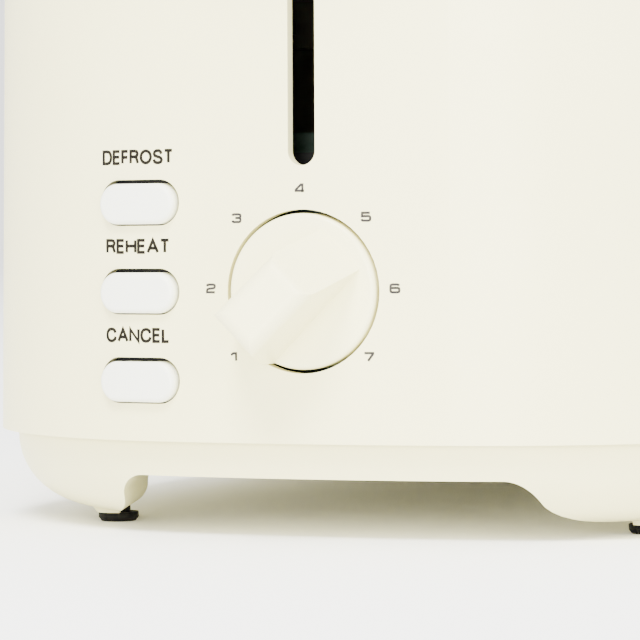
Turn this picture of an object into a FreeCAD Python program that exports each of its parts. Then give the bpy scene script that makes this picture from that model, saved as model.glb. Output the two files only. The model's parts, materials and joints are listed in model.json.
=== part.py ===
"""Two-slice pop-up toaster, built as a parametric FreeCAD document.

Millimetres. +Z is up, the controls are on the -Y end and +X is to their right.
The origin is at the bottom centre of the whole toaster, on the surface it stands on.
"""
import FreeCAD, Part
import math
import os
import re
import Sketcher
from FreeCAD import Placement, Rotation, Vector

DIMENSIONS = {
    # outline of the body in plan, at the lower edge of the shell
    "half_w": 94.0, "half_l": 145.0, "bow": 247.0, "corner": 73.0, "body_y": 9.5,
    "skirt_z": 19.25, "top_z": 190.0, "draft": 1.0, "top_round": 17.0,
    "wall": 2.5, "top_wall": 4.0, "gap": 0.3, "running": 0.05,
    # controls on the front face
    "slot_half": 2.82, "slot_low": 73.2, "slot_high": 160.5,
    "dial_z": 48.8, "dial_hole": 15.9, "dial_rim": 15.18, "dial_deep": 7.0, "dial_proud": 0.2,
    "dial_pointer": 225.0,
    "grip_w": 11.15, "grip_top": 17.0, "grip_tip": 10.8, "grip_heel": 4.2, "grip_start": 11.5,
    "grip_round": 2.6, "tip_round": 1.2,
    "button_x": 36.05, "button_pitch": 17.58, "button_reach": 4.9, "button_hole": 4.55,
    "button_cap": 4.02, "button_sag": 0.24, "button_proud": 1.85, "button_flange": 5.7, "button_back": 136.0,
    # lever and carriage
    "lever_z": 154.0, "travel": 70.0, "arm_thick": 3.0, "arm_tall": 5.0, "arm_out": 13.0,
    "knob_w": 38.0, "knob_tall": 15.0, "knob_stand": 1.5, "knob_out": 24.0,
    "bracket_y": 96.0, "bracket_thick": 1.6, "bracket_half": 37.0, "bracket_low": 98.0,
    "bracket_high": 167.0, "lug_thick": 3.0, "rod_x": 26.0, "rod_y": 103.0, "rod_radius": 2.5,
    "rack_z": 102.0, "rack_half": 10.0, "rack_wire": 1.1, "rack_long": 66.0, "rack_top": 112.0,
    "rung_pitch": 21.0, "spring_x": 14.0, "spring_radius": 3.4, "spring_rise": 20.0,
    # toasting chamber
    "slot_x": 30.0, "bread_half": 17.0, "bread_long": 75.0, "plate_x": 58.0, "plate_y": 97.0,
    "plate_thick": 1.5, "plate_corner": 14.0, "collar_deep": 8.0, "mouth_round": 5.0, "chamber_y": 92.0,
    "sheet": 1.0, "chassis_low": 24.0, "chassis_high": 178.0, "chassis_half": 70.0, "shield_x": 68.0,
    "board_low": 38.0, "board_high": 152.0, "mica": 0.9, "heater_x": 61.0, "ribbon": 1.6,
    "guide_out": 20.5, "guide_low": 29.0, "guide_middle": 96.0, "guide_high": 163.0,
    "guide_wire": 1.0, "guide_pitch": 18.5,
    # base, feet and crumb tray
    "base_inset": 3.4, "base_top": 25.0, "curve_top": 18.3, "foot_z": 2.9, "foot_front": 12.9,
    "foot_side": 14.6, "roof_z": 12.1, "floor_z": 14.5, "base_wall": 3.0, "arch_x": 40.2,
    "arch_y": 95.0, "arch_round": 4.5, "arch_flare": 0.32, "pad_x": 58.0, "pad_y": 106.0,
    "pad_radius": 4.2, "pad_tall": 1.9, "pad_stem": 2.5, "boss_radius": 6.2,
    "tray_x": 62.0, "tray_low": 15.1, "tray_high": 18.6, "tray_front": 88.0,
    "tray_sheet": 0.8, "handle_w": 62.5, "handle_out": 5.0, "pull_half": 24.0, "pull_radius": 1.9,
    # electrical parts
    "board_thick": 1.6, "control_y": 124.0, "control_low": 29.0, "control_high": 80.0,
    "control_left": 62.0, "control_right": 34.0, "stay_left": 55.0, "stay_right": 27.0,
    "stay_thick": 3.0, "stay_half": 3.5, "pot_radius": 8.5, "shaft_radius": 3.0, "shaft_in": 2.6,
    "shaft_long": 16.0,
    "power_z": 24.6, "power_x": 60.0, "power_front": 118.9, "power_back": 94.3, "shelf_x": 56.0,
    "magnet_x": 11.0, "magnet_top": 44.2, "limb": 3.5, "contact_half": 2.5, "leaf_gap": 1.6,
    "gland_z": 37.0, "gland_bore": 3.6, "gland_body": 5.6, "gland_flange": 8.5, "lead": 1.1,
    # screws
    "screw": 1.5, "head": 3.0, "head_tall": 1.8, "post": 4.0,
    "base_screw_x": 81.0, "base_screw_y": 60.0, "boss_tall": 30.0, "ear_x": 76.0, "ear_y": 96.0,
}

doc = FreeCAD.newDocument("Toaster")
sheet = doc.addObject("Spreadsheet::Sheet", "dims")
for row, (alias, size) in enumerate(DIMENSIONS.items(), 1):
    sheet.set(f"A{row}", alias)
    sheet.set(f"B{row}", str(size))
    sheet.setAlias(f"B{row}", alias)
doc.recompute()

ALIAS = re.compile(r"\b(" + "|".join(sorted(DIMENSIONS, key=len, reverse=True)) + r")\b")
TURN = {"x": Rotation(Vector(0, 1, 0), 90), "y": Rotation(Vector(1, 0, 0), -90), "z": Rotation()}
PLANE = {"x": "YZ_Plane", "y": "XZ_Plane", "z": "XY_Plane"}
parts = {}


def formula(text):
    """The formula as the document reads it, with every dimension taken from the sheet."""
    return ALIAS.sub(r"dims.\1", str(text))


def bind(thing, prop, text):
    thing.setExpression(prop, formula(text))


def front(depth):
    """Y of a point that lies this far in front of the middle of the body."""
    return f"body_y - ({depth})"


def rear(depth):
    """Y of a point that lies this far behind the middle of the body."""
    return f"body_y + ({depth})"


# ---------------------------------------------------------------- building blocks

def box(name, x, y, z):
    """A block between a low and a high formula on each axis."""
    block = doc.addObject("Part::Box", name)
    for prop, axis, (low, high) in zip(("Length", "Width", "Height"), "xyz", (x, y, z)):
        bind(block, prop, f"({high}) - ({low})")
        bind(block, f"Placement.Base.{axis}", low)
    return block


def place(thing, axis, at):
    thing.Placement = Placement(Vector(), TURN[axis])
    for letter, text in zip("xyz", at):
        bind(thing, f"Placement.Base.{letter}", text)
    return thing


def rod(name, axis, at, length, radius):
    """A cylinder that starts at a point and runs along an axis."""
    bar = doc.addObject("Part::Cylinder", name)
    bind(bar, "Radius", radius)
    bind(bar, "Height", length)
    return place(bar, axis, at)


def cone(name, axis, at, length, radius_from, radius_to):
    taper = doc.addObject("Part::Cone", name)
    bind(taper, "Radius1", radius_from)
    bind(taper, "Radius2", radius_to)
    bind(taper, "Height", length)
    return place(taper, axis, at)


def fuse(name, *pieces):
    if len(pieces) == 1:
        return pieces[0]
    whole = doc.addObject("Part::MultiFuse", name)
    whole.Shapes = list(pieces)
    return whole


def cut(name, base, *tools):
    result = doc.addObject("Part::Cut", name)
    result.Base = base
    result.Tool = fuse(name + "_tools", *tools)
    return result


def common(name, base, tool):
    result = doc.addObject("Part::Common", name)
    result.Base = base
    result.Tool = tool
    return result


def group(name, *pieces):
    """Several separate solids that share one node."""
    whole = doc.addObject("Part::Compound", name)
    whole.Links = list(pieces)
    return whole


def fillet(name, base, radius, chosen):
    """Round the edges for which chosen(edge) is true."""
    doc.recompute()
    size = sheet.get(radius) if isinstance(radius, str) else radius
    rounded = doc.addObject("Part::Fillet", name)
    rounded.Base = base
    numbers = [n for n, edge in enumerate(base.Shape.Edges, 1) if chosen(edge)]
    rounded.Edges = [(n, size, size) for n in numbers]
    return rounded


def upright(edge):
    box_of = edge.BoundBox
    return box_of.ZLength > 1.0 and box_of.XLength + box_of.YLength < 0.01


def stadium(name, x, y, z, radius):
    """A round-ended prism along Y: its centre line runs from (x0, z0) to (x1, z1)."""
    length = f"({y[1]}) - ({y[0]})"
    ends = [rod(f"{name}_end{n}", "y", (x[n], y[0], z[n]), length, radius) for n in (0, 1)]
    if x[0] == x[1]:
        web = box(name + "_web", (f"{x[0]} - {radius}", f"{x[1]} + {radius}"), y, z)
    else:
        web = box(name + "_web", x, y, (f"{z[0]} - {radius}", f"{z[1]} + {radius}"))
    return fuse(name, web, *ends)


def add_rectangle(sketch, low, high):
    """A rectangle between two corners, each fixed from the sketch's origin."""
    start = sketch.GeometryCount
    corners = [Vector(0, 0), Vector(10, 0), Vector(10, 10), Vector(0, 10)]
    for n in range(4):
        sketch.addGeometry(Part.LineSegment(corners[n], corners[(n + 1) % 4]))
    for n in range(4):
        sketch.addConstraint(Sketcher.Constraint("Coincident", start + n, 2, start + (n + 1) % 4, 1))
        kind = "Vertical" if n % 2 else "Horizontal"
        sketch.addConstraint(Sketcher.Constraint(kind, start + n))
    for kind, line, text, guess in (("DistanceX", 0, low[0], 1.0), ("DistanceY", 0, low[1], 1.0),
                                    ("DistanceX", 2, high[0], 11.0), ("DistanceY", 2, high[1], 11.0)):
        number = sketch.addConstraint(Sketcher.Constraint(kind, -1, 1, start + line, 1, guess))
        bind(sketch, f"Constraints[{number}]", text)


def add_circle(sketch, centre, radius):
    start = sketch.GeometryCount
    sketch.addGeometry(Part.Circle(Vector(1, 1), Vector(0, 0, 1), 1.0))
    for kind, args, text in (("DistanceX", (-1, 1, start, 3, 1.0), centre[0]),
                             ("DistanceY", (-1, 1, start, 3, 1.0), centre[1]),
                             ("Radius", (start, 1.0), radius)):
        number = sketch.addConstraint(Sketcher.Constraint(kind, *args))
        bind(sketch, f"Constraints[{number}]", text)


def plate(name, normal, span, rectangles, circles=()):
    """A flat piece: rectangles (the first is its outline) and round holes, padded across span."""
    body = doc.addObject("PartDesign::Body", name)
    plane = next(p for p in body.Origin.OriginFeatures if p.Role == PLANE[normal])
    sketch = body.newObject("Sketcher::SketchObject", name + "_outline")
    sketch.AttachmentSupport = [(plane, "")]
    sketch.MapMode = "FlatFace"
    offset = f"-({span[1]})" if normal == "y" else span[0]
    bind(sketch, "AttachmentOffset.Base.z", offset)
    for low, high in rectangles:
        add_rectangle(sketch, low, high)
    for centre, radius in circles:
        add_circle(sketch, centre, radius)
    pad = body.newObject("PartDesign::Pad", name + "_pad")
    pad.Profile = sketch
    bind(pad, "Length", f"({span[1]}) - ({span[0]})")
    body.Tip = pad
    return body


def oval(name, z, ends, sides, turn):
    """The body's outline in plan at one height: two bowed ends, two straight sides, four corner arcs.

    ends and sides are how far the outline lies inside the lower edge of the shell, and turn is the
    radius of its corners.
    """
    sketch = doc.addObject("Sketcher::SketchObject", name)
    across, along, large, small = (sheet.get(a) for a in ("half_w", "half_l", "bow", "corner"))
    swing = math.asin((across - small) / (large - small))
    inner_x = across - small
    inner_y = along - large + (large - small) * math.cos(swing)
    quarter = math.pi / 2

    def arc(x, y, radius, start, end):
        circle = Part.Circle(Vector(x, y), Vector(0, 0, 1), radius)
        sketch.addGeometry(Part.ArcOfCircle(circle, start, end))

    arc(0, large - along, large, -quarter - swing, -quarter + swing)
    arc(inner_x, -inner_y, small, -quarter + swing, 0)
    sketch.addGeometry(Part.LineSegment(Vector(across, -inner_y), Vector(across, inner_y)))
    arc(inner_x, inner_y, small, 0, quarter - swing)
    arc(0, along - large, large, quarter - swing, quarter + swing)
    arc(-inner_x, inner_y, small, quarter + swing, 2 * quarter)
    sketch.addGeometry(Part.LineSegment(Vector(-across, inner_y), Vector(-across, -inner_y)))
    arc(-inner_x, -inner_y, small, 2 * quarter, 3 * quarter - swing)
    for n in range(8):
        sketch.addConstraint(Sketcher.Constraint("Tangent", n, 2, (n + 1) % 8, 1))
    for n in (2, 6):
        sketch.addConstraint(Sketcher.Constraint("Vertical", n))
    for n in (0, 4):
        sketch.addConstraint(Sketcher.Constraint("PointOnObject", n, 3, -2))
    bow_radius, bow_centre = f"bow - ({ends})", "bow - half_l"
    half_width = f"half_w - ({sides})"
    for kind, args, guess, text in (
            ("Radius", (0,), large, bow_radius), ("Radius", (4,), large, bow_radius),
            ("Radius", (1,), small, turn), ("Radius", (3,), small, turn),
            ("Radius", (5,), small, turn), ("Radius", (7,), small, turn),
            ("DistanceX", (-1, 1, 2, 1), across, half_width),
            ("DistanceX", (6, 1, -1, 1), across, half_width),
            ("DistanceY", (-1, 1, 0, 3), large - along, bow_centre),
            ("DistanceY", (4, 3, -1, 1), large - along, bow_centre)):
        index = sketch.addConstraint(Sketcher.Constraint(kind, *args, guess))
        bind(sketch, f"Constraints[{index}]", text)
    bind(sketch, "Placement.Base.y", "body_y")
    bind(sketch, "Placement.Base.z", z)
    return sketch


def loft(name, sections, ruled):
    skin = doc.addObject("Part::Loft", name)
    skin.Sections = sections
    skin.Solid = True
    skin.Ruled = ruled
    return skin


def drafted(name, low, high, depth):
    """The body's drafted form between two heights, depth inside the outer surface."""
    sections = []
    for end, z in (("low", low), ("high", high)):
        inset = f"{depth} + (({z}) - skirt_z) * tan(draft)"
        sections.append(oval(f"{name}_{end}", z, inset, inset, f"corner - ({inset})"))
    return loft(name, sections, True)


def keep(node, thing):
    """Name a finished piece: its label is its node's and its file's name."""
    thing.Label = node
    parts[node] = thing
    return thing


# ---------------------------------------------------------------- outer shell

FACE = ("body_y - half_l - 2", "body_y - half_l + 25")
BUTTONS = {"defrost_button": "dial_z + button_pitch", "reheat_button": "dial_z",
           "cancel_button": "dial_z - button_pitch"}


def on_top_rim(height):
    return lambda edge: all(abs(v.Z - sheet.get("top_z") + height) < 1e-6 for v in edge.Vertexes)


def round_block(name, x, y, z, radius):
    """A block with its upright edges rounded."""
    return fillet(name + "_round", box(name, x, y, z), radius, upright)


def centred(half, about="0"):
    return (f"{about} - ({half})", f"{about} + ({half})")


outer = fillet("outer_form", drafted("outer", "skirt_z", "top_z", "0"), "top_round", on_top_rim(0.0))
hollow = fillet("hollow_form", drafted("hollow", "skirt_z - 1", "top_z - top_wall", "wall"),
                sheet.get("top_round") - sheet.get("wall"), on_top_rim(sheet.get("top_wall")))
lever_slot = stadium("lever_slot", ("0", "0"), FACE,
                     ("slot_low + slot_half", "slot_high - slot_half"), "slot_half")
dial_hole = rod("dial_opening", "y", ("0", FACE[0], "dial_z"), f"{FACE[1]} - ({FACE[0]})", "dial_hole")
button_holes = [stadium(f"{node}_hole", ("-button_x - button_reach", "-button_x + button_reach"), FACE,
                        (z, z), "button_hole") for node, z in BUTTONS.items()]
recess = round_block("plate_recess", centred("plate_x + gap"), centred("plate_y + gap", "body_y"),
                     ("top_z - plate_thick", "top_z + 1"), "plate_corner")
top_opening = round_block("top_opening", centred("plate_x - 5"), centred("plate_y - 5", "body_y"),
                          ("top_z - top_wall - 1", "top_z + 1"), 9.0)
gland_hole = rod("gland_hole", "y", ("0", rear("half_l - 15"), "gland_z"), "20", "gland_body + gap")
walls = cut("shell_walls", outer, hollow, lever_slot, dial_hole, *button_holes, recess, top_opening,
            gland_hole)

bosses = []
for side in ("", "-"):
    for end in ("", "-"):
        tag = f"{side}{end}".replace("-", "m") + f"{len(bosses)}"
        at = (f"{side}base_screw_x", f"body_y + {end}base_screw_y", "base_top")
        post = rod("boss" + tag, "z", at, "boss_tall", "post")
        reach = ("base_screw_x", "half_w - 1.5") if not side else ("1.5 - half_w", "-base_screw_x")
        web = box("boss_web" + tag, reach, (f"{at[1]} - 1", f"{at[1]} + 1"),
                  ("base_top", "base_top + boss_tall - 4"))
        pilot = rod("boss_pilot" + tag, "z", (at[0], at[1], "base_top - 1"), "boss_tall - 4",
                    "screw + running")
        bosses.append(cut("screw_boss" + tag, fuse("boss_body" + tag, post, web), pilot))
keep("outer_shell", fuse("shell_with_bosses", walls, *bosses))

# ---------------------------------------------------------------- top plate with two bread slots

SIDES = {"left": "-", "right": ""}
deck = round_block("deck", centred("plate_x"), centred("plate_y", "body_y"),
                   ("top_z - plate_thick", "top_z"), "plate_corner")
mouths = []
for side, sign in SIDES.items():
    middle = f"{sign}slot_x"
    mouths.append(round_block(f"mouth_{side}", centred("bread_half", middle),
                              centred("bread_long", "body_y"),
                              ("top_z - plate_thick - 1", "top_z + 1"), "mouth_round"))
    liner_z = ("top_z - plate_thick - collar_deep", "top_z - plate_thick")
    outside = box(f"liner_outside_{side}", centred("bread_half + sheet", middle),
                  centred("bread_long + sheet", "body_y"), liner_z)
    inside = box(f"liner_inside_{side}", centred("bread_half", middle), centred("bread_long", "body_y"),
                 ("top_z - plate_thick - collar_deep - 1", "top_z"))
    keep(f"slot_liner_{side}", cut(f"liner_{side}", outside, inside))
keep("top_plate", cut("plate_with_slots", deck, *mouths))

# ---------------------------------------------------------------- base, feet and crumb tray

# Angle round the curved underside and how far its corners are tightened there.
UNDERSIDE = ((0, 0.0), (15, 0.5), (30, 1.5), (48, 3.0), (68, 5.0), (90, 7.0))
levels = []
for angle, tightened in UNDERSIDE:
    drop = f"(curve_top - foot_z) * sin({angle})"
    swell = f"(1 - cos({angle}))"
    levels.append(oval(f"underside_{angle}", f"curve_top - {drop}", f"base_inset + foot_front * {swell}",
                       f"base_inset + foot_side * {swell}", f"corner - base_inset - {tightened}"))
underside = loft("underside", levels, False)


def upright_oval(name, inset, low, high):
    ends = [oval(f"{name}_{z}", text, inset, inset, f"corner - ({inset})")
            for z, text in (("low", low), ("high", high))]
    return loft(name, ends, True)


rim = upright_oval("base_rim", "base_inset", "curve_top", "base_top")
tub = upright_oval("base_tub", "base_inset + base_wall", "floor_z", "base_top + 1")
OUT = "half_l + 20"


def arch_outline(name, along, at, half):
    """The section of an arch: its walls curve into the roof and flare out at the foot."""
    sketch = doc.addObject("Sketcher::SketchObject", name)
    turn, foot, roof = (sheet.get(a) for a in ("arch_round", "foot_z", "roof_z"))
    below = -5.0
    bend = turn * (1 - math.sqrt(0.5))

    def line(*ends):
        sketch.addGeometry(Part.LineSegment(*(Vector(*end) for end in ends)))

    def arc(*points):
        sketch.addGeometry(Part.Arc(*(Vector(*point) for point in points)))

    line((-half - turn, below), (-half - turn, foot))
    arc((-half - turn, foot), (-half - bend, foot + bend), (-half, foot + turn))
    line((-half, foot + turn), (-half, roof - turn))
    arc((-half, roof - turn), (bend - half, roof - bend), (turn - half, roof))
    line((turn - half, roof), (half - turn, roof))
    arc((half - turn, roof), (half - bend, roof - bend), (half, roof - turn))
    line((half, roof - turn), (half, foot + turn))
    arc((half, foot + turn), (half + bend, foot + bend), (half + turn, foot))
    line((half + turn, foot), (half + turn, below))
    line((half + turn, below), (-half - turn, below))
    upright_plane = Rotation(Vector(1, 0, 0), 90)
    turned = Rotation(Vector(0, 0, 1), 90) * upright_plane
    sketch.Placement = Placement(Vector(), upright_plane if along == "y" else turned)
    bind(sketch, "Placement.Base.y", f"body_y + {at}" if along == "y" else "body_y")
    bind(sketch, "Placement.Base.x", "0" if along == "y" else f"{at}")
    return sketch


def passage(name, along, half, flare):
    """An arch through the underside that widens towards its middle."""
    reach = sheet.get("half_l") + 20
    sections = []
    for at in (-reach, 0, reach):
        wider = flare * (sheet.get("half_l") - abs(at))
        sections.append(arch_outline(f"{name}_{len(sections)}", along, at, sheet.get(half) + wider))
    return loft(name, sections, True)


arches = [passage("front_arch", "y", "arch_x", sheet.get("arch_flare")),
          passage("side_arch", "x", "arch_y", 0.0)]
tray_door = box("tray_door", centred("handle_w + gap"), (rear("half_l - 24"), rear(OUT)),
                ("floor_z", "skirt_z + gap"))
posts = []
bores = []
for side in ("-", ""):
    for end in ("-", "+"):
        tag = str(len(bores))
        screw_at = (f"{side}base_screw_x", f"body_y {end} base_screw_y")
        posts.append(rod("screw_post" + tag, "z", (*screw_at, "floor_z - 1"),
                         "base_top - floor_z + 1 - gap", "post"))
        bores.append(rod("screw_bore" + tag, "z", (*screw_at, "0"), "base_top + 2", "screw + gap"))
        bores.append(rod("head_bore" + tag, "z", (*screw_at, "0"), "roof_z + head_tall + gap",
                         "head + gap"))
        ear_at = (f"{side}ear_x", f"body_y {end} ear_y")
        posts.append(rod("ear_post" + tag, "z", (*ear_at, "floor_z - 1"),
                         "chassis_low - floor_z + 1", "post"))
        bores.append(rod("ear_bore" + tag, "z", (*ear_at, "floor_z"), "20", "screw + running"))
        pad_at = (f"{side}pad_x", f"body_y {end} pad_y")
        posts.append(cone("pad_boss" + tag, "z", (*pad_at, "pad_tall"), "foot_z + 1.5 - pad_tall",
                          "pad_radius + 0.4", "boss_radius"))
        posts.append(cone("pad_root" + tag, "z", (*pad_at, "foot_z + 1.5"), "3", "boss_radius",
                          "pad_radius"))
        bores.append(rod("pad_bore" + tag, "z", (*pad_at, "0"), "foot_z + 6", "pad_stem + running"))
for side in ("-", ""):
    at = (f"{side}rod_x", front("rod_y"))
    posts.append(rod("rod_post" + side.replace("-", "m"), "z", (*at, "floor_z - 1"), "7.5", "5"))
    bores.append(rod("rod_bore" + side.replace("-", "m"), "z", (*at, "floor_z"), "10",
                     "rod_radius + running"))
shelf_posts = []
for side in ("-", ""):
    for depth in ("power_back + 3.2", "power_front - 3.4"):
        shelf_posts.append(rod(f"shelf_post{len(shelf_posts)}", "z",
                               (f"{side}shelf_x", front(depth), "floor_z - 1"),
                               "power_z - floor_z + 1", "3"))
tub_shell = cut("tub_shell", fuse("tub_form", underside, rim), tub)
base_form = fuse("base_posts", tub_shell, *posts, *shelf_posts)
for n, opening in enumerate((*arches, tray_door)):
    base_form = cut(f"base_opened{n}", base_form, opening)
keep("base", cut("base_bored", base_form, *bores))

pads = []
screws = []
ear_screws = []
for side in ("-", ""):
    for end in ("-", "+"):
        tag = str(len(pads))
        at = (f"{side}pad_x", f"body_y {end} pad_y")
        pads.append(fuse("pad" + tag,
                         cone("pad_bevel" + tag, "z", (*at, "0"), "0.8", "pad_radius - 0.6", "pad_radius"),
                         rod("pad_disc" + tag, "z", (*at, "0.8"), "pad_tall - 0.8", "pad_radius"),
                         rod("pad_plug" + tag, "z", (*at, "pad_tall"), "5", "pad_stem")))
        at = (f"{side}base_screw_x", f"body_y {end} base_screw_y")
        screws.append(fuse("base_screw" + tag,
                           rod("base_head" + tag, "z", (*at, "roof_z"), "head_tall", "head"),
                           rod("base_shank" + tag, "z", (*at, "roof_z + head_tall"),
                               "base_top + boss_tall - 8 - roof_z", "screw")))
        at = (f"{side}ear_x", f"body_y {end} ear_y")
        ear_screws.append(fuse("ear_screw" + tag,
                               rod("ear_head" + tag, "z", (*at, "chassis_low + sheet"), "head_tall", "head"),
                               rod("ear_shank" + tag, "z", (*at, "floor_z + 1"),
                                   "chassis_low + sheet - floor_z - 1", "screw")))
keep("rubber_feet", group("rubber_feet_group", *pads))
keep("base_screws", group("base_screws_group", *screws))
keep("chassis_screws", group("chassis_screws_group", *ear_screws))

TRAY_Y = (front("tray_front"), rear("half_l"))
tray_out = box("tray_outside", centred("tray_x"), TRAY_Y, ("tray_low", "tray_high"))
tray_in = box("tray_inside", centred("tray_x - tray_sheet"),
              (f"{TRAY_Y[0]} + tray_sheet", f"{TRAY_Y[1]} + 1"), ("tray_low + tray_sheet", "tray_high + 1"))
keep("crumb_tray", common("tray_pan", cut("tray_folded", tray_out, tray_in), tub))

HANDLE_Z = ("floor_z + gap", "skirt_z - gap")
panel_block = box("panel_block", centred("handle_w"), (rear("half_l - 24"), rear(OUT)), HANDLE_Z)
panel = cut("panel_wall", common("panel_solid", fuse("panel_form", underside, rim), panel_block), tub)
pull_z = "(floor_z + skirt_z) / 2"
pull_y = (rear("half_l - base_inset - base_wall + 0.6"), rear("half_l + handle_out"))
pull = stadium("pull", ("-pull_half", "pull_half"), pull_y, (pull_z, pull_z), "pull_radius")
keep("tray_handle", fuse("tray_front", panel, pull))

# ---------------------------------------------------------------- chassis, heaters and bread guides

RACK_SLOT = 4.0
plate_holes = [((f"{sign}slot_x - {RACK_SLOT}", "chassis_low + 4"),
                (f"{sign}slot_x + {RACK_SLOT}", "rack_top")) for sign in SIDES.values()]
GUIDES = {"guide_left_outer": "-slot_x - guide_out", "guide_left_inner": "-slot_x + guide_out",
          "guide_right_inner": "slot_x - guide_out", "guide_right_outer": "slot_x + guide_out"}
pivot_holes = [((x, "guide_low"), "guide_wire + running") for x in GUIDES.values()]
frame_outline = (("-chassis_half", "chassis_low"), ("chassis_half", "chassis_high"))
for node, low, high, ear_y in (
        ("chassis_front", front("chamber_y"), front("chamber_y - sheet"),
         (front("chamber_y + 8"), front("chamber_y - sheet"))),
        ("chassis_rear", rear("chamber_y - sheet"), rear("chamber_y"),
         (rear("chamber_y - sheet"), rear("chamber_y + 8")))):
    wall_plate = plate(node + "_sheet", "y", (low, high), [frame_outline, *plate_holes], pivot_holes)
    ears = []
    for sign in ("-", ""):
        at = (f"{sign}ear_x", front("ear_y") if node == "chassis_front" else rear("ear_y"))
        span = ("ear_x - 12", "ear_x + 4") if not sign else ("-ear_x - 4", "-ear_x + 12")
        ear = box(f"{node}_ear{sign}".replace("-", "m"), span, ear_y, ("chassis_low", "chassis_low + sheet"))
        hole = rod(f"{node}_hole{sign}".replace("-", "m"), "z", (*at, "chassis_low - 1"), "sheet + 2",
                   "screw + running")
        ears.append(cut(f"{node}_tab{sign}".replace("-", "m"), ear, hole))
    extras = list(ears)
    if node == "chassis_front":
        shelf = box("rod_shelf", centred("rod_x + 7"), (front("rod_y + 6"), front("chamber_y - sheet")),
                    ("chassis_high - 6", "chassis_high - 4.5"))
        holes = [rod("shelf_hole" + sign.replace("-", "m"), "z",
                     (f"{sign}rod_x", front("rod_y"), "chassis_high - 8"), "6", "rod_radius + running")
                 for sign in ("-", "")]
        extras.append(cut("rod_shelf_bored", shelf, *holes))
    keep(node, fuse(node + "_folded", wall_plate, *extras))

SHIELD_Y = "chamber_y - sheet - gap"
for side, sign in SIDES.items():
    low, high = ("shield_x", "shield_x + sheet") if not sign else ("-shield_x - sheet", "-shield_x")
    keep(f"heat_shield_{side}", plate(f"shield_{side}", "x", (low, high),
                                      [((front(SHIELD_Y), "chassis_low + 6"),
                                        (rear(SHIELD_Y), "chassis_high - 4"))]))

RIBBON_ROWS = 11
HEATERS = {"left": "-heater_x", "centre": "0", "right": "heater_x"}
for side, x in HEATERS.items():
    half = "mica / 2"
    mica_sheet = plate(f"mica_{side}", "x", (f"{x} - {half}", f"{x} + {half}"),
                       [((front("chamber_y - 3"), "board_low"), (rear("chamber_y - 3"), "board_high"))])
    keep(f"heater_board_{side}", mica_sheet)
    faces = {"left": ("+",), "centre": ("-", "+"), "right": ("-",)}[side]
    strips = []
    for face in faces:
        near = f"{x} {face} {half}"
        away = f"{x} {face} ({half} + 0.25)"
        across = (near, away) if face == "+" else (away, near)
        for n in range(RIBBON_ROWS):
            z = f"board_low + 9 + {n} * (board_high - board_low - 18) / {RIBBON_ROWS - 1}"
            strips.append(box(f"ribbon_{side}_{len(strips)}", across,
                              (front("chamber_y - 9"), rear("chamber_y - 9")), centred("ribbon / 2", z)))
    keep(f"heating_ribbon_{side}", group(f"ribbons_{side}", *strips))

WIRES = 4
for node, x in GUIDES.items():
    bars = []
    for name, z, reach in (("foot", "guide_low", "chamber_y"), ("middle", "guide_middle", "bread_long + 3"),
                           ("top", "guide_high", "bread_long + 3")):
        bars.append(rod(f"{node}_{name}", "y", (x, front(reach), z), f"2 * ({reach})", "guide_wire"))
    for n in range(-WIRES, WIRES + 1):
        bars.append(rod(f"{node}_wire{n + WIRES}", "z", (x, f"body_y + {n} * guide_pitch", "guide_low"),
                        "guide_high - guide_low", "guide_wire - 0.1"))
    keep(node, fuse(node + "_cage", *bars))

# ---------------------------------------------------------------- carriage, lever and return spring

BRACKET_Y = (front("bracket_y + bracket_thick"), front("bracket_y"))
bracket_sheet = plate("bracket_sheet", "y", BRACKET_Y,
                      [(("-bracket_half", "bracket_low"), ("bracket_half", "bracket_high")),
                       (("-9", "bracket_low + 24"), ("9", "bracket_high - 20"))])
lugs = []
for sign in ("-", ""):
    for n, z in enumerate(("bracket_low + 3", "bracket_high - lug_thick - 3")):
        tag = f"{sign}{n}".replace("-", "m")
        lug = box("lug" + tag, centred("6", f"{sign}rod_x"), (front("rod_y + 6"), BRACKET_Y[1]),
                  (z, f"{z} + lug_thick"))
        bore = rod("lug_bore" + tag, "z", (f"{sign}rod_x", front("rod_y"), f"{z} - 1"), "lug_thick + 2",
                   "rod_radius + running")
        lugs.append(cut("lug_bored" + tag, lug, bore))
SPRING_LOW = "bracket_low + spring_rise"
hook = box("spring_hook", centred("3", "spring_x"), (front("rod_y + 2"), BRACKET_Y[0]),
           (f"{SPRING_LOW} - 1.5", SPRING_LOW))
keep("carriage_bracket", fuse("bracket_folded", bracket_sheet, *lugs, hook))

ARMATURE_Z = "magnet_top + gap + travel"
keep("armature_plate", box("armature", centred("magnet_x - 1"), (front("rod_y + 8"), BRACKET_Y[0]),
                           (ARMATURE_Z, f"{ARMATURE_Z} + 2.5")))
keep("lever_arm", box("arm_bar", centred("arm_thick / 2"), (front("half_l + arm_out"), BRACKET_Y[0]),
                      centred("arm_tall / 2", "lever_z")))

knob_block = box("knob_block", centred("knob_w / 2"),
                 (front("half_l + knob_out"), front("half_l + knob_stand")),
                 centred("knob_tall / 2", "lever_z"))
knob_soft = fillet("knob_soft", knob_block, 5.0, lambda e: e.BoundBox.ZLength > 1.0)
knob_round = fillet("knob_round", knob_soft, 3.0,
                    lambda e: e.BoundBox.ZLength < 0.01 and abs(abs(e.BoundBox.ZMax - sheet.get("lever_z"))
                                                                - sheet.get("knob_tall") / 2) < 0.01)
arm_socket = box("arm_socket", centred("arm_thick / 2"), (front("half_l + arm_out"), front("half_l")),
                 centred("arm_tall / 2", "lever_z"))
keep("lever_knob", cut("knob_with_socket", knob_round, arm_socket))

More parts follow.
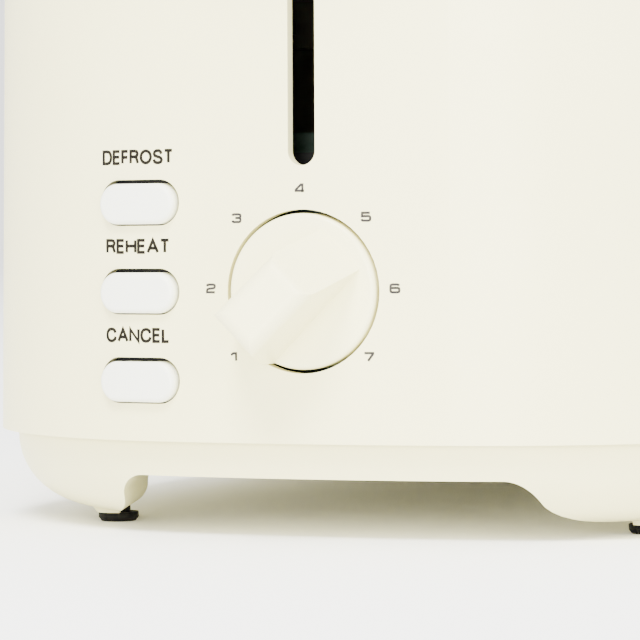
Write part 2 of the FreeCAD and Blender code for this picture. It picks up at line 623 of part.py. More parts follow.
for side, sign in SIDES.items():
    middle = f"{sign}slot_x"
    spine = box(f"spine_{side}", centred("1.5", middle), (BRACKET_Y[1], rear("chamber_y + 3")),
                ("rack_z - 4", "rack_z"))
    rungs = [rod(f"rung_{side}_{n}", "x", (f"{middle} - rack_half", f"body_y + {n} * rung_pitch", "rack_z"),
                 "2 * rack_half", "rack_wire") for n in range(-3, 4)]
    rails = [rod(f"rail_{side}_{n}", "y", (f"{middle} {edge} (rack_half - 1)", front("rack_long"), "rack_z"),
                 "2 * rack_long", "rack_wire") for n, edge in enumerate("-+")]
    keep(f"bread_rack_{side}", fuse(f"rack_{side}", spine, *rungs, *rails))

for side, sign in SIDES.items():
    keep(f"guide_rod_{side}", rod(f"steel_rod_{side}", "z", (f"{sign}rod_x", front("rod_y"), "floor_z + 1"),
                                  "chassis_high - floor_z - 3", "rod_radius"))

spring_at = ("spring_x", front("rod_y"))
spring_tall = f"chassis_high - 6 - ({SPRING_LOW})"
keep("return_spring", cut("spring_coil",
                          rod("spring_outer", "z", (*spring_at, SPRING_LOW), spring_tall, "spring_radius"),
                          rod("spring_bore", "z", (*spring_at, f"{SPRING_LOW} - 1"), f"{spring_tall} + 2",
                              "spring_radius - 1")))

# ---------------------------------------------------------------- browning dial

FACE_Y = "body_y - half_l + (dial_z - skirt_z) * tan(draft) - dial_proud"
DIAL = ("0", FACE_Y, "dial_z")


def number_face():
    """Y of the dial's flat front."""
    rise = (sheet.get("dial_z") - sheet.get("skirt_z")) * math.tan(math.radians(sheet.get("draft")))
    return sheet.get("body_y") - sheet.get("half_l") + rise - sheet.get("dial_proud")


def in_front_of(depth):
    return lambda edge: edge.BoundBox.YMax < number_face() - depth


def on_rim_ahead(edge):
    """Whether an edge lies on the rim's cylinder, well in front of the dial's face."""
    start, stop = edge.FirstParameter, edge.LastParameter
    spots = [edge.valueAt(t) for t in (start, (start + stop) / 2, stop)]
    out = [math.hypot(spot.x, spot.z - sheet.get("dial_z")) for spot in spots]
    on_rim = all(abs(radius - sheet.get("dial_rim")) < 0.01 for radius in out)
    return on_rim and edge.BoundBox.YMax < number_face() - 1.0


disc = fillet("dial_disc", rod("dial_blank", "y", DIAL, "dial_deep", "dial_rim"), 0.9,
              lambda e: e.BoundBox.YLength < 0.01 and e.BoundBox.YMax < number_face() + 1)
grip = doc.addObject("PartDesign::Body", "dial_grip")
grip_plane = next(p for p in grip.Origin.OriginFeatures if p.Role == "XZ_Plane")
profile = grip.newObject("Sketcher::SketchObject", "grip_profile")
profile.AttachmentSupport = [(grip_plane, "")]
profile.MapMode = "FlatFace"
GRIP_OUTLINE = (("-grip_start", "-1"), ("dial_rim + 0.5", "-1"), ("dial_rim + 0.5", "0.5"),
                ("grip_tip", "grip_top"), ("-grip_heel", "grip_top - 2"), ("-grip_start", "0.2"))
rough = [Vector(-11, -1), Vector(16, -1), Vector(16, 1), Vector(11, 17), Vector(-4, 15), Vector(-11, 1)]
for n in range(len(GRIP_OUTLINE)):
    profile.addGeometry(Part.LineSegment(rough[n], rough[(n + 1) % len(rough)]))
for n in range(len(GRIP_OUTLINE)):
    profile.addConstraint(Sketcher.Constraint("Coincident", n, 2, (n + 1) % len(GRIP_OUTLINE), 1))
for n, place_of in enumerate(GRIP_OUTLINE):
    for kind, text in zip(("DistanceX", "DistanceY"), place_of):
        index = profile.addConstraint(Sketcher.Constraint(kind, -1, 1, n, 1, 1.0))
        bind(profile, f"Constraints[{index}]", text)
grip_pad = grip.newObject("PartDesign::Pad", "grip_pad")
grip_pad.Profile = profile
grip_pad.SideType = "Symmetric"
bind(grip_pad, "Length", "grip_w")
facing = Rotation(Vector(0, -1, 0), sheet.get("dial_pointer")) * Rotation(Vector(1, 0, 0), 90)
grip.Placement = Placement(Vector(), facing)
for letter, text in zip("xyz", DIAL):
    bind(grip, f"Placement.Base.{letter}", text)
grip_soft = fillet("grip_soft", grip, "grip_round", in_front_of(1.0))
within_rim = rod("within_rim", "y", ("0", f"{FACE_Y} - grip_top - 1", "dial_z"), "grip_top + 3", "dial_rim")
hub = rod("dial_hub", "y", ("0", f"{FACE_Y} + dial_deep", "dial_z"), "3", "shaft_radius + 2.5")
shaft_hole = rod("shaft_hole", "y", ("0", f"{FACE_Y} + shaft_in", "dial_z"), "dial_deep + 2", "shaft_radius")
grip_trimmed = common("grip_trimmed", grip_soft, within_rim)
grip_smooth = fillet("grip_smooth", grip_trimmed, "tip_round", on_rim_ahead)
keep("browning_knob", cut("dial_bored", fuse("dial_joined", disc, grip_smooth, hub), shaft_hole))
keep("knob_shaft", rod("steel_shaft", "y", ("0", f"{FACE_Y} + shaft_in", "dial_z"), "shaft_long",
                       "shaft_radius"))

# ---------------------------------------------------------------- push buttons

bulge = drafted("button_front", "skirt_z", "top_z", "-button_proud")
behind_wall = drafted("behind_wall", "skirt_z", "top_z", "wall + gap")
CAP_Y = ("body_y - half_l - 4", front("button_back"))
FLANGE_Y = (front("half_l"), front("control_y + 6.6"))
CAP_BACK = sheet.get("body_y") - sheet.get("button_back")
for node, hole_z in BUTTONS.items():
    z = f"{hole_z} - button_sag"
    middle = ("-button_x - button_reach", "-button_x + button_reach")
    cap = common(node + "_cap", stadium(node + "_prism", middle, CAP_Y, (z, z), "button_cap"), bulge)
    soft = fillet(node + "_soft", cap, 1.1, lambda e: e.BoundBox.YMax < CAP_BACK - 0.5)
    flange = common(node + "_flange", stadium(node + "_skirt", middle, FLANGE_Y, (z, z), "button_flange"),
                    behind_wall)
    keep(node, fuse(node + "_moulding", soft, flange))

# ---------------------------------------------------------------- control board

BOARD_Y = (front("control_y"), front("control_y - board_thick"))
SCREW_SPOTS = [(x, z) for x in ("-stay_left", "stay_right") for z in ("control_low + 4", "control_high - 4")]
keep("control_board", plate("control_sheet", "y", BOARD_Y,
                            [(("-control_left", "control_low"), ("control_right", "control_high"))],
                            [(spot, "screw + running") for spot in SCREW_SPOTS]))
STAY_Y = (BOARD_Y[1], f"{BOARD_Y[1]} + stay_thick")
uprights = [box(f"upright{n}", centred("stay_half", x), STAY_Y, ("floor_z", "control_high - 1"))
            for n, x in enumerate(("-stay_left", "stay_right"))]
foot_bar = box("bracket_foot", ("-stay_left - stay_half", "stay_right + stay_half"), STAY_Y,
               ("floor_z", "floor_z + 4"))
holes = [rod(f"upright_hole{n}", "y", (x, f"{BOARD_Y[1]} - 1", z), "5", "screw + running")
         for n, (x, z) in enumerate(SCREW_SPOTS)]
keep("board_bracket", cut("bracket_drilled", fuse("bracket_frame", *uprights, foot_bar), *holes))
board_screws = [fuse(f"board_screw{n}",
                     rod(f"board_head{n}", "y", (x, f"{BOARD_Y[0]} - head_tall", z), "head_tall", "head"),
                     rod(f"board_shank{n}", "y", (x, BOARD_Y[0], z), "board_thick + 2.5", "screw"))
                for n, (x, z) in enumerate(SCREW_SPOTS)]
keep("board_screws", group("board_screws_group", *board_screws))
pot_body = rod("pot_can", "y", ("0", front("control_y + 6"), "dial_z"), "6", "pot_radius")
pot_bush = rod("pot_bush", "y", ("0", front("control_y + 9"), "dial_z"), "3", "shaft_radius + 1.5")
pot_bore = rod("pot_bore", "y", ("0", front("control_y + 10"), "dial_z"), "9", "shaft_radius + running")
keep("browning_control", cut("pot_bored", fuse("pot_whole", pot_body, pot_bush), pot_bore))
switches = [fuse(f"switch{n}",
                 box(f"switch_case{n}", centred("3", "-button_x"), (front("control_y + 3.5"), BOARD_Y[0]),
                     centred("3", z)),
                 rod(f"switch_tip{n}", "y", ("-button_x", front("control_y + 5"), z), "1.5", "1.7"))
            for n, z in enumerate(BUTTONS.values())]
keep("push_switches", group("push_switches_group", *switches))
keep("timer_chip", box("chip", ("-14", "6"), (front("control_y + 2.2"), BOARD_Y[0]), ("69", "76")))

# ---------------------------------------------------------------- power board and holding magnet

POWER_Z = ("power_z", "power_z + board_thick")
keep("power_board", plate("power_sheet", "z", POWER_Z,
                          [(("-power_x", front("power_front")), ("power_x", front("power_back")))],
                          [((f"{sign}rod_x", front("rod_y")), "rod_radius + gap") for sign in ("-", "")]))
core_y = (front("rod_y + 6"), front("rod_y - 3.5"))
core = [box("core_yoke", centred("magnet_x"), core_y, (POWER_Z[1], f"{POWER_Z[1]} + 4"))]
for n, (low, high) in enumerate((("-magnet_x", "-magnet_x + limb"), ("-2.6", "2.6"),
                                 ("magnet_x - limb", "magnet_x"))):
    core.append(box(f"core_limb{n}", (low, high), core_y, (POWER_Z[1], "magnet_top")))
keep("magnet_core", fuse("core_stack", *core))
spool = round_block("spool", centred("magnet_x - limb - 0.2"), (front("rod_y + 8.2"), front("rod_y - 4.9")),
                    (f"{POWER_Z[1]} + 4.1", "magnet_top - 1.5"), 2.0)
spool_hole = box("spool_hole", centred("2.7"), (f"{core_y[0]} - 0.1", f"{core_y[1]} + 0.1"),
                 (POWER_Z[1], "magnet_top"))
keep("magnet_coil", cut("spool_wound", spool, spool_hole))
keep("line_capacitor", round_block("capacitor", ("-57", "-39"), (front("118"), front("110")),
                                   (POWER_Z[1], f"{POWER_Z[1]} + 14"), 1.0))
keep("terminal_block", box("terminals", ("-57", "-41"), (front("107"), front("98")),
                           (POWER_Z[1], f"{POWER_Z[1]} + 10")))
keep("power_relay", round_block("relay", ("40", "57"), (front("117"), front("100")),
                                (POWER_Z[1], f"{POWER_Z[1]} + 15"), 0.8))
contact_x = centred("contact_half", "spring_x + 1.5")
contact_post = box("contact_post", contact_x, (front("rod_y + 11"), front("rod_y + 8")),
                   (POWER_Z[1], "magnet_top + leaf_gap"))
leaves = [box(f"leaf{n}", contact_x, (front("rod_y + 11"), front("rod_y - 3")), (z, f"{z} + 0.4"))
          for n, z in enumerate(("magnet_top + leaf_gap", "magnet_top - leaf_gap"))]
keep("mains_contacts", fuse("contact_stack", contact_post, *leaves))

# ---------------------------------------------------------------- cord gland and internal leads

GLAND = ("0", rear("half_l - 0.05"), "gland_z")
gland_parts = [rod("gland_flange", "y", GLAND, "3", "gland_flange"),
               rod("gland_barrel", "y", ("0", rear("half_l - 7"), "gland_z"), "7", "gland_body"),
               rod("gland_lock", "y", ("0", rear("half_l - 6"), "gland_z"), "2.6", "gland_body + 2")]
keep("cord_gland", cut("gland_bored", fuse("gland_moulding", *gland_parts),
                       rod("gland_bore", "y", ("0", rear("half_l - 8"), "gland_z"), "15", "gland_bore")))


def swept(points, radius):
    """A round lead along straight runs joined by tangent arcs."""
    edges = []
    start = points[0]
    for before, here, after in zip(points, points[1:], points[2:]):
        back, ahead = (before - here), (after - here)
        turn = math.pi - back.getAngle(ahead)
        shorter = min(back.Length, ahead.Length)
        reach = 0.45 * shorter
        bend = reach / math.tan(turn / 2)
        entry = here + back.normalize() * reach
        leave = here + ahead.normalize() * reach
        bisector = (back + ahead).normalize()
        middle = here + bisector * (bend / math.cos(turn / 2) - bend)
        edges.append(Part.LineSegment(start, entry).toShape())
        edges.append(Part.Arc(entry, middle, leave).toShape())
        start = leave
    edges.append(Part.LineSegment(start, points[-1]).toShape())
    heading = points[1] - points[0]
    ring = Part.Wire(Part.makeCircle(radius, points[0], heading))
    return Part.Wire(edges).makePipeShell([ring], True, False)


middle_y, end_y = sheet.get("body_y"), sheet.get("half_l")
lead_x = sheet.get("shield_x") + sheet.get("sheet") + 5.2
routes = [[Vector(x, middle_y + end_y - 10, sheet.get("gland_z")),
           Vector(x - 12, middle_y + end_y - 17, 0.5 * (z + sheet.get("gland_z"))),
           Vector(-lead_x + 32, middle_y + 121, z), Vector(-lead_x + 4, middle_y + 113, z),
           Vector(-lead_x - 0.4, middle_y + 86, z), Vector(-lead_x, middle_y + 36, z),
           Vector(-lead_x - 0.4, middle_y - 24, z), Vector(-lead_x, middle_y - 78, z),
           Vector(-lead_x, middle_y - 103, z), Vector(-57.0, middle_y - 103, z)]
          for x, z in ((-1.6, 30.0), (1.6, 33.5))]
leads = doc.addObject("Part::Feature", "leads")
leads.Shape = Part.makeCompound([swept(route, sheet.get("lead")) for route in routes])
keep("internal_leads", leads)

# ---------------------------------------------------------------- end of the model

doc.recompute()
faults = [o.Name for o in doc.Objects if "Invalid" in o.State or "Error" in o.State]
faults += [n for n, o in parts.items() if o.Shape.isNull() or not o.Shape.isValid()]
if faults:
    raise RuntimeError("failed: " + ", ".join(faults))
os.makedirs("parts", exist_ok=True)
for node, piece in parts.items():
    piece.Shape.exportStep(f"parts/{node}.step")
print(len(parts), "parts written")
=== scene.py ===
"""Pop-up toaster: looks, labels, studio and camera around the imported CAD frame. Metres, +Z up."""
import json
import math

import bpy
from mathutils import Matrix, Vector
from mathutils.bvhtree import BVHTree


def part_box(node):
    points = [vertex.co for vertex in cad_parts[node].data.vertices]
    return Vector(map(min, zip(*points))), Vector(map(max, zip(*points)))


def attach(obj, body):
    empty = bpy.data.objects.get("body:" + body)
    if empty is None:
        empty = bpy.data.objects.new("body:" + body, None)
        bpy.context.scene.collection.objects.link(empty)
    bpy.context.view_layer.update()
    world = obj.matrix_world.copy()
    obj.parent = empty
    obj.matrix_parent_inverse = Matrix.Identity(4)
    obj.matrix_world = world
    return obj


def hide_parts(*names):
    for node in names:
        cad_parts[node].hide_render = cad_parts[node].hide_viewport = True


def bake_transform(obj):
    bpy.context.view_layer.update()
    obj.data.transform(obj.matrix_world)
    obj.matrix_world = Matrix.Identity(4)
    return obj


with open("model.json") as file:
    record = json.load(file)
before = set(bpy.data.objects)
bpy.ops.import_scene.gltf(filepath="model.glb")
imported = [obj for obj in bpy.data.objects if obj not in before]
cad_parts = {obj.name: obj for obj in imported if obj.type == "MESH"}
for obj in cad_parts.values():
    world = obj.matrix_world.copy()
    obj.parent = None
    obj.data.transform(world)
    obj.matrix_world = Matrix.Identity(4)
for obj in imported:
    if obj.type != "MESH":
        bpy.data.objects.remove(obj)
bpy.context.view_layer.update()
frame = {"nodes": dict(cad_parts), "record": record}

MM = 0.001
NODES = frame["nodes"]


# ------------------------------------------------------------------ pieces

def mid(node):
    """The middle of a CAD node's box."""
    low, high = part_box(node)
    return (low + high) / 2


def mesh_piece(name, verts, faces, body, material, smooth=True):
    """A new piece with a material; it rides on a body if one is given."""
    mesh = bpy.data.meshes.new(name)
    mesh.from_pydata([tuple(v) for v in verts], [], faces)
    mesh.validate()
    mesh.update()
    piece = bpy.data.objects.new(name, mesh)
    bpy.context.scene.collection.objects.link(piece)
    mesh.materials.append(material)
    if smooth:
        mesh.shade_smooth()
    if body:
        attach(piece, body)
    return piece


# ------------------------------------------------------------------ materials

WAVE_BANDS = 0.314      # a wave texture's scale for bands one unit apart
THIN_COVER = 1.6        # ink is this much paler where it lies thin


class Nodes:
    """A material's node tree, with a short call for each kind of node."""

    def __init__(self, name):
        self.material = bpy.data.materials.new(name)
        self.material.use_nodes = True
        self.tree = self.material.node_tree
        self.shader = self.tree.nodes["Principled BSDF"]
        self.place = self.tree.nodes.new("ShaderNodeTexCoord").outputs["Object"]

    def set(self, **values):
        """Set inputs of the main shader; an underscore stands for a space in an input's name."""
        for socket, value in values.items():
            self.shader.inputs[socket.replace("_", " ")].default_value = value
        return self

    def link(self, source, node, socket):
        self.tree.links.new(source, node.inputs[socket])

    def stretched(self, scale):
        """Object coordinates scaled by a different number along each axis."""
        mapping = self.tree.nodes.new("ShaderNodeMapping")
        mapping.inputs["Scale"].default_value = scale
        self.link(self.place, mapping, "Vector")
        return mapping.outputs["Vector"]

    def noise(self, scale, detail=3.0, rough=0.5, stretch=None):
        node = self.tree.nodes.new("ShaderNodeTexNoise")
        node.inputs["Scale"].default_value = scale
        node.inputs["Detail"].default_value = detail
        node.inputs["Roughness"].default_value = rough
        self.link(self.stretched(stretch) if stretch else self.place, node, "Vector")
        return node.outputs["Fac"]

    def cells(self, scale):
        node = self.tree.nodes.new("ShaderNodeTexVoronoi")
        node.inputs["Scale"].default_value = scale
        self.link(self.place, node, "Vector")
        return node.outputs["Distance"]

    def ramp(self, source, low, high, start=0.3, stop=0.7):
        """From start to stop, source becomes low to high; each of them is a number or a colour."""
        node = self.tree.nodes.new("ShaderNodeValToRGB")
        for element, at, value in zip(node.color_ramp.elements, (start, stop), (low, high)):
            colour = value if hasattr(value, "__len__") else (value, value, value)
            element.position = at
            element.color = (*colour, 1.0)
        self.link(source, node, "Fac")
        return node.outputs["Color"]

    def bump(self, height, distance, strength, after=None):
        """A bump of a depth in metres, on top of another bump if one is given."""
        node = self.tree.nodes.new("ShaderNodeBump")
        node.inputs["Strength"].default_value = strength
        node.inputs["Distance"].default_value = distance
        self.link(height, node, "Height")
        if after is not None:
            self.link(after, node, "Normal")
        return node.outputs["Normal"]

    def finish(self, colour, roughness, normal=None):
        self.link(colour, self.shader, "Base Color")
        self.link(roughness, self.shader, "Roughness")
        if normal is not None:
            self.link(normal, self.shader, "Normal")
        return self.material


def moulded(name, colour, tint, rough=(0.36, 0.46)):
    """Satin moulded plastic: a very fine grain, a slow flow ripple and faint mottling."""
    n = Nodes(name).set(Specular_IOR_Level=0.5, IOR=1.5, Coat_Weight=0.12, Coat_Roughness=0.22)
    mottle = n.ramp(n.noise(18.0, 4.0, 0.55), colour, tint, 0.35, 0.65)
    grain = n.bump(n.noise(5200.0, 2.0, 0.6), 0.012 * MM, 0.5)
    flow = n.bump(n.noise(45.0, 2.0, 0.4), 0.05 * MM, 0.25, grain)
    return n.finish(mottle, n.ramp(n.noise(260.0, 3.0), *rough), flow)


def brushed(name, colour, tint):
    """Sheet steel brushed along the body's length."""
    stretch = (900.0, 9.0, 900.0)
    n = Nodes(name).set(Metallic=1.0, Anisotropic=0.45)
    lines = n.noise(1.0, 5.0, 0.65, stretch)
    return n.finish(n.ramp(lines, colour, tint),
                    n.ramp(n.noise(1.6, 4.0, 0.6, stretch), 0.22, 0.38),
                    n.bump(lines, 0.015 * MM, 0.6))


def plated(name, colour, tint, rough):
    """Plain or plated metal: faint spangle and handling marks."""
    n = Nodes(name).set(Metallic=1.0)
    return n.finish(n.ramp(n.cells(130.0), colour, tint, 0.1, 0.8),
                    n.ramp(n.noise(90.0, 5.0, 0.6), *rough),
                    n.bump(n.noise(700.0, 4.0), 0.02 * MM, 0.4))


def bright_wire(name):
    """Wire with a bright plating, a little uneven."""
    n = Nodes(name).set(Metallic=1.0)
    return n.finish(n.ramp(n.noise(120.0, 4.0), (0.36, 0.355, 0.345), (0.5, 0.5, 0.49)),
                    n.ramp(n.noise(300.0, 5.0), 0.12, 0.3),
                    n.bump(n.noise(900.0, 3.0), 0.01 * MM, 0.5))


def rubber(name):
    """Matt black rubber with a fine tooth."""
    n = Nodes(name).set(Specular_IOR_Level=0.15)
    return n.finish(n.ramp(n.noise(300.0, 4.0), (0.0022, 0.002, 0.0014), (0.005, 0.0046, 0.0036)),
                    n.ramp(n.noise(800.0, 3.0), 0.55, 0.8),
                    n.bump(n.noise(1800.0, 3.0), 0.03 * MM, 0.6))


def mica(name):
    """Pressed flake sheet: overlapping pale flakes with darker seams."""
    n = Nodes(name).set(Specular_IOR_Level=0.6, Coat_Weight=0.3, Coat_Roughness=0.3)
    flakes = n.cells(160.0)
    return n.finish(n.ramp(flakes, (0.42, 0.33, 0.2), (0.66, 0.58, 0.43), 0.05, 0.5),
                    n.ramp(n.noise(220.0, 4.0), 0.25, 0.55), n.bump(flakes, 0.08 * MM, 0.5))


def ribbon(name):
    """Resistance ribbon, dulled by heat."""
    n = Nodes(name).set(Metallic=1.0)
    return n.finish(n.ramp(n.noise(400.0, 4.0), (0.16, 0.13, 0.12), (0.36, 0.32, 0.3)),
                    n.ramp(n.noise(700.0, 3.0), 0.35, 0.6),
                    n.bump(n.noise(1500.0, 3.0), 0.02 * MM, 0.5))


def laminate(name):
    """Green circuit laminate with a woven ground under its mask."""
    n = Nodes(name).set(Coat_Weight=0.4, Coat_Roughness=0.15)
    weave = n.tree.nodes.new("ShaderNodeTexChecker")
    weave.inputs["Scale"].default_value = 1400.0
    n.link(n.place, weave, "Vector")
    return n.finish(n.ramp(n.noise(60.0, 4.0), (0.005, 0.013, 0.008), (0.009, 0.022, 0.013)),
                    n.ramp(n.noise(500.0, 3.0), 0.3, 0.5),
                    n.bump(weave.outputs["Fac"], 0.02 * MM, 0.5))


def plain_moulding(name, colour, tint, rough=(0.45, 0.62)):
    """Matt moulded plastic or rubber of the parts inside."""
    n = Nodes(name).set(Specular_IOR_Level=0.25)
    return n.finish(n.ramp(n.noise(70.0, 4.0), colour, tint), n.ramp(n.noise(400.0, 3.0), *rough),
                    n.bump(n.noise(3000.0, 2.0), 0.02 * MM, 0.5))


def wound(name, colour, tint, pitch):
    """Fine enamelled wire lying in level turns, a pitch in metres apart."""
    n = Nodes(name).set(Metallic=1.0)
    turns = n.tree.nodes.new("ShaderNodeTexWave")
    turns.bands_direction = "Z"
    turns.inputs["Scale"].default_value = WAVE_BANDS / pitch
    n.link(n.place, turns, "Vector")
    return n.finish(n.ramp(turns.outputs["Fac"], colour, tint, 0.1, 0.9),
                    n.ramp(n.noise(500.0), 0.25, 0.4),
                    n.bump(turns.outputs["Fac"], 0.1 * MM, 0.8))


def ink(name, colour):
    """Pad-printed ink: slightly uneven cover."""
    n = Nodes(name).set(Specular_IOR_Level=0.03)
    thin = tuple(c * THIN_COVER for c in colour)
    return n.finish(n.ramp(n.noise(900.0, 3.0), colour, thin),
                    n.ramp(n.noise(1200.0, 2.0), 0.4, 0.55),
                    n.bump(n.noise(2600.0, 2.0), 0.01 * MM, 0.4))


def floor_finish(name):
    """A pale matt sweep."""
    n = Nodes(name).set(Specular_IOR_Level=0.2)
    return n.finish(n.ramp(n.noise(6.0, 3.0), (0.95, 0.95, 0.95), (0.97, 0.97, 0.97)),
                    n.ramp(n.noise(40.0, 3.0), 0.75, 0.85))


# One finish for each material slot of the record. The colours are yellower than the photo's,
# because the display's tone curve washes them out.
finishes = {
    "cream_plastic": moulded("cream_moulding", (0.88, 0.83, 0.445), (0.895, 0.845, 0.465)),
    "cream_knob": moulded("cream_knob_moulding", (0.92, 0.875, 0.50), (0.935, 0.89, 0.52),
                          (0.3, 0.4)),
    "white_button": moulded("button_moulding", (0.85, 0.86, 0.74), (0.865, 0.875, 0.76),
                            (0.3, 0.4)),
    "brushed_steel": brushed("brushed_top", (0.25, 0.25, 0.245), (0.38, 0.38, 0.37)),
    "plated_sheet": plated("plated_sheet", (0.27, 0.275, 0.28), (0.33, 0.335, 0.34), (0.34, 0.44)),
    "wire_chrome": bright_wire("bright_wire"),
    "screw_steel": plated("plain_steel", (0.3, 0.3, 0.3), (0.4, 0.4, 0.4), (0.28, 0.45)),
    "rubber_pad": rubber("foot_rubber"),
    "mica": mica("mica_sheet"),
    "nichrome": ribbon("heating_ribbon"),
    "circuit_board": laminate("circuit_laminate"),
    "black_plastic": plain_moulding("black_moulding", (0.008, 0.008, 0.008),
                                    (0.016, 0.016, 0.015)),
    "white_moulding": plain_moulding("white_moulding", (0.7, 0.7, 0.67), (0.78, 0.78, 0.75)),
    "capacitor_case": plain_moulding("capacitor_case", (0.52, 0.36, 0.06), (0.6, 0.43, 0.09),
                                     (0.3, 0.45)),
    "copper_winding": wound("copper_winding", (0.32, 0.12, 0.04), (0.62, 0.28, 0.12), 0.4 * MM),
    "brass_parts": plated("plain_brass", (0.5, 0.38, 0.16), (0.66, 0.52, 0.26), (0.22, 0.4)),
    "lead_sleeve": plain_moulding("lead_sleeve", (0.38, 0.06, 0.04), (0.48, 0.09, 0.06)),
}
# Dark steel put on the hidden parts behind the lever slot as painted shade, so the slot reads dark.
PAINTED_SHADE_STEEL = plated("painted_shade_steel", (0.045, 0.040, 0.030), (0.07, 0.063, 0.05), (0.5, 0.7))
FLANGE_DEEP = 4.2 * MM        # what lies further than this behind a button's front is its flange
FACES_FRONT = -0.5            # a face turned to the front has a normal with its y below this


def repaint(node, material, chosen):
    """Give a CAD node a second material on the faces whose middle and normal are chosen."""
    mesh = NODES[node].data
    mesh.materials.append(material)
    turned = NODES[node].matrix_world
    for face in mesh.polygons:
        if chosen(turned @ face.center, turned.to_3x3() @ face.normal):
            face.material_index = 1


for row in frame["record"]["subparts"]:
    node = NODES[row["node"]]
    node.data.materials.clear()
    node.data.materials.append(finishes[row["material_slot"]])
# Painted shade: what lies behind the lever slot, and the button flanges in the gaps round the
# buttons, are painted black, so both read dark as shade.
for hidden in ("carriage_bracket", "armature_plate"):
    repaint(hidden, PAINTED_SHADE_STEEL, lambda middle, normal: True)
repaint("chassis_front", PAINTED_SHADE_STEEL, lambda middle, normal: normal.y < FACES_FRONT)
# Painted shade: each button's flange, a white moulding, gets the black plastic finish so the gaps
# round the buttons read dark.
for button in ("defrost_button", "reheat_button", "cancel_button"):
    flange_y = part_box(button)[0].y + FLANGE_DEEP
    repaint(button, finishes["black_plastic"], lambda middle, normal: middle.y > flange_y)

# ------------------------------------------------------------------ printed marks on the front face

INK = ink("printed_ink", (0.010, 0.009, 0.007))
FAINT_INK = ink("numeral_ink", (0.030, 0.028, 0.026))
PRINT_HEIGHT = 0.06 * MM      # how far the ink stands on the face
PRINT_ROOT = -0.05 * MM       # its sides run on into the face
PRINT_STEP = 0.4              # a stroke follows the face in steps this long, in millimetres
MITRE_LIMIT = 0.45            # the least cosine a mitre divides by, so sharp corners stay short
SAME_POINT = 1e-6             # millimetres
IN_FRONT = -0.2               # a y in front of the whole body, in metres

ROUND_SIDES = 20
ROUND = [(0.5 + 0.5 * math.cos(a * math.tau / ROUND_SIDES),
          0.5 + 0.5 * math.sin(a * math.tau / ROUND_SIDES)) for a in range(ROUND_SIDES + 1)]
# The strokes of each sign in a unit square. A stroke that ends where it began is closed.
STROKES = {
    "D": [[(0, 0), (0, 1), (0.5, 1), (0.78, 0.94), (0.95, 0.74), (1, 0.5), (0.95, 0.26),
           (0.78, 0.06), (0.5, 0), (0, 0)]],
    "E": [[(1, 1), (0, 1), (0, 0), (1, 0)], [(0, 0.53), (0.94, 0.53)]],
    "F": [[(1, 1), (0, 1), (0, 0)], [(0, 0.5), (0.94, 0.5)]],
    "R": [[(0, 0), (0, 1), (0.6, 1), (0.84, 0.95), (0.95, 0.78), (0.86, 0.6), (0.6, 0.53),
           (0, 0.53)],
          [(0.55, 0.53), (0.8, 0.44), (0.9, 0.2), (1, 0)]],
    "O": [ROUND],
    "S": [[(0.95, 0.72), (0.87, 0.9), (0.66, 1), (0.34, 1), (0.12, 0.91), (0.04, 0.75), (0.12, 0.6),
           (0.35, 0.53), (0.68, 0.46), (0.92, 0.37), (1, 0.22), (0.9, 0.07), (0.66, 0), (0.34, 0),
           (0.1, 0.08), (0, 0.28)]],
    "T": [[(0, 1), (1, 1)], [(0.5, 1), (0.5, 0)]],
    "H": [[(0, 0), (0, 1)], [(1, 0), (1, 1)], [(0, 0.53), (1, 0.53)]],
    "A": [[(0, 0), (0.5, 1), (1, 0)], [(0.17, 0.34), (0.83, 0.34)]],
    "C": [[(0.97, 0.68), (0.88, 0.88), (0.7, 0.98), (0.48, 1), (0.22, 0.94), (0.05, 0.75), (0, 0.5),
           (0.05, 0.25), (0.22, 0.06), (0.48, 0), (0.72, 0.03), (0.92, 0.16), (1, 0.36)]],
    "N": [[(0, 0), (0, 1), (1, 0), (1, 1)]],
    "L": [[(0, 1), (0, 0), (1, 0)]],
    "1": [[(0, 0.74), (0.3, 0.97), (0.62, 0.97), (0.62, 0)]],
    "2": [[(0.02, 0.78), (0.05, 0.94), (0.2, 1), (0.8, 1), (0.96, 0.93), (1, 0.78), (0.95, 0.6),
           (0.8, 0.53), (0.2, 0.45), (0.05, 0.37), (0, 0.22), (0, 0), (1, 0)]],
    "3": [[(0.02, 0.82), (0.05, 0.95), (0.2, 1), (0.8, 1), (0.96, 0.93), (1, 0.77), (0.95, 0.59),
           (0.8, 0.53), (0.35, 0.53)],
          [(0.8, 0.53), (0.96, 0.46), (1, 0.27), (0.96, 0.07), (0.8, 0), (0.2, 0), (0.05, 0.06),
           (0, 0.2)]],
    "4": [[(0.8, 0), (0.8, 1), (0.62, 1), (0, 0.32), (0, 0.2), (1, 0.2)]],
    "5": [[(0.95, 1), (0.06, 1), (0.04, 0.56), (0.8, 0.58), (0.96, 0.49), (1, 0.3), (0.96, 0.08),
           (0.8, 0), (0.2, 0), (0.05, 0.06), (0, 0.2)]],
    "6": [[(0.95, 0.84), (0.9, 0.95), (0.76, 1), (0.2, 1), (0.04, 0.92), (0, 0.72), (0, 0.25),
           (0.04, 0.07), (0.2, 0), (0.8, 0), (0.96, 0.07), (1, 0.27), (0.96, 0.49), (0.8, 0.56),
           (0, 0.56)]],
    "7": [[(0, 1), (1, 1), (1, 0.9), (0.42, 0)]],
}
# Each letter's width and the gap between letters, as shares that are scaled to fit the word.
WIDTHS = {"D": 0.70, "E": 0.56, "F": 0.53, "R": 0.65, "O": 0.80, "S": 0.67, "T": 0.62, "H": 0.70,
          "A": 0.76, "C": 0.74, "N": 0.70, "L": 0.52}
LETTER_GAP = 0.03
# From here on, all in millimetres on the face.
CAP_HEIGHT = 3.0
LABEL_STROKE = 0.62
NUMERAL_STROKE = 0.46
NUMERAL_SIZE = (1.75, 1.5)    # across and tall, between the middles of the outer strokes
# Word, left end, right end and lower edge.
LABELS = (("DEFROST", -45.1, -27.85, 73.92), ("REHEAT", -44.2, -28.7, 56.26),
          ("CANCEL", -44.3, -28.8, 38.66))
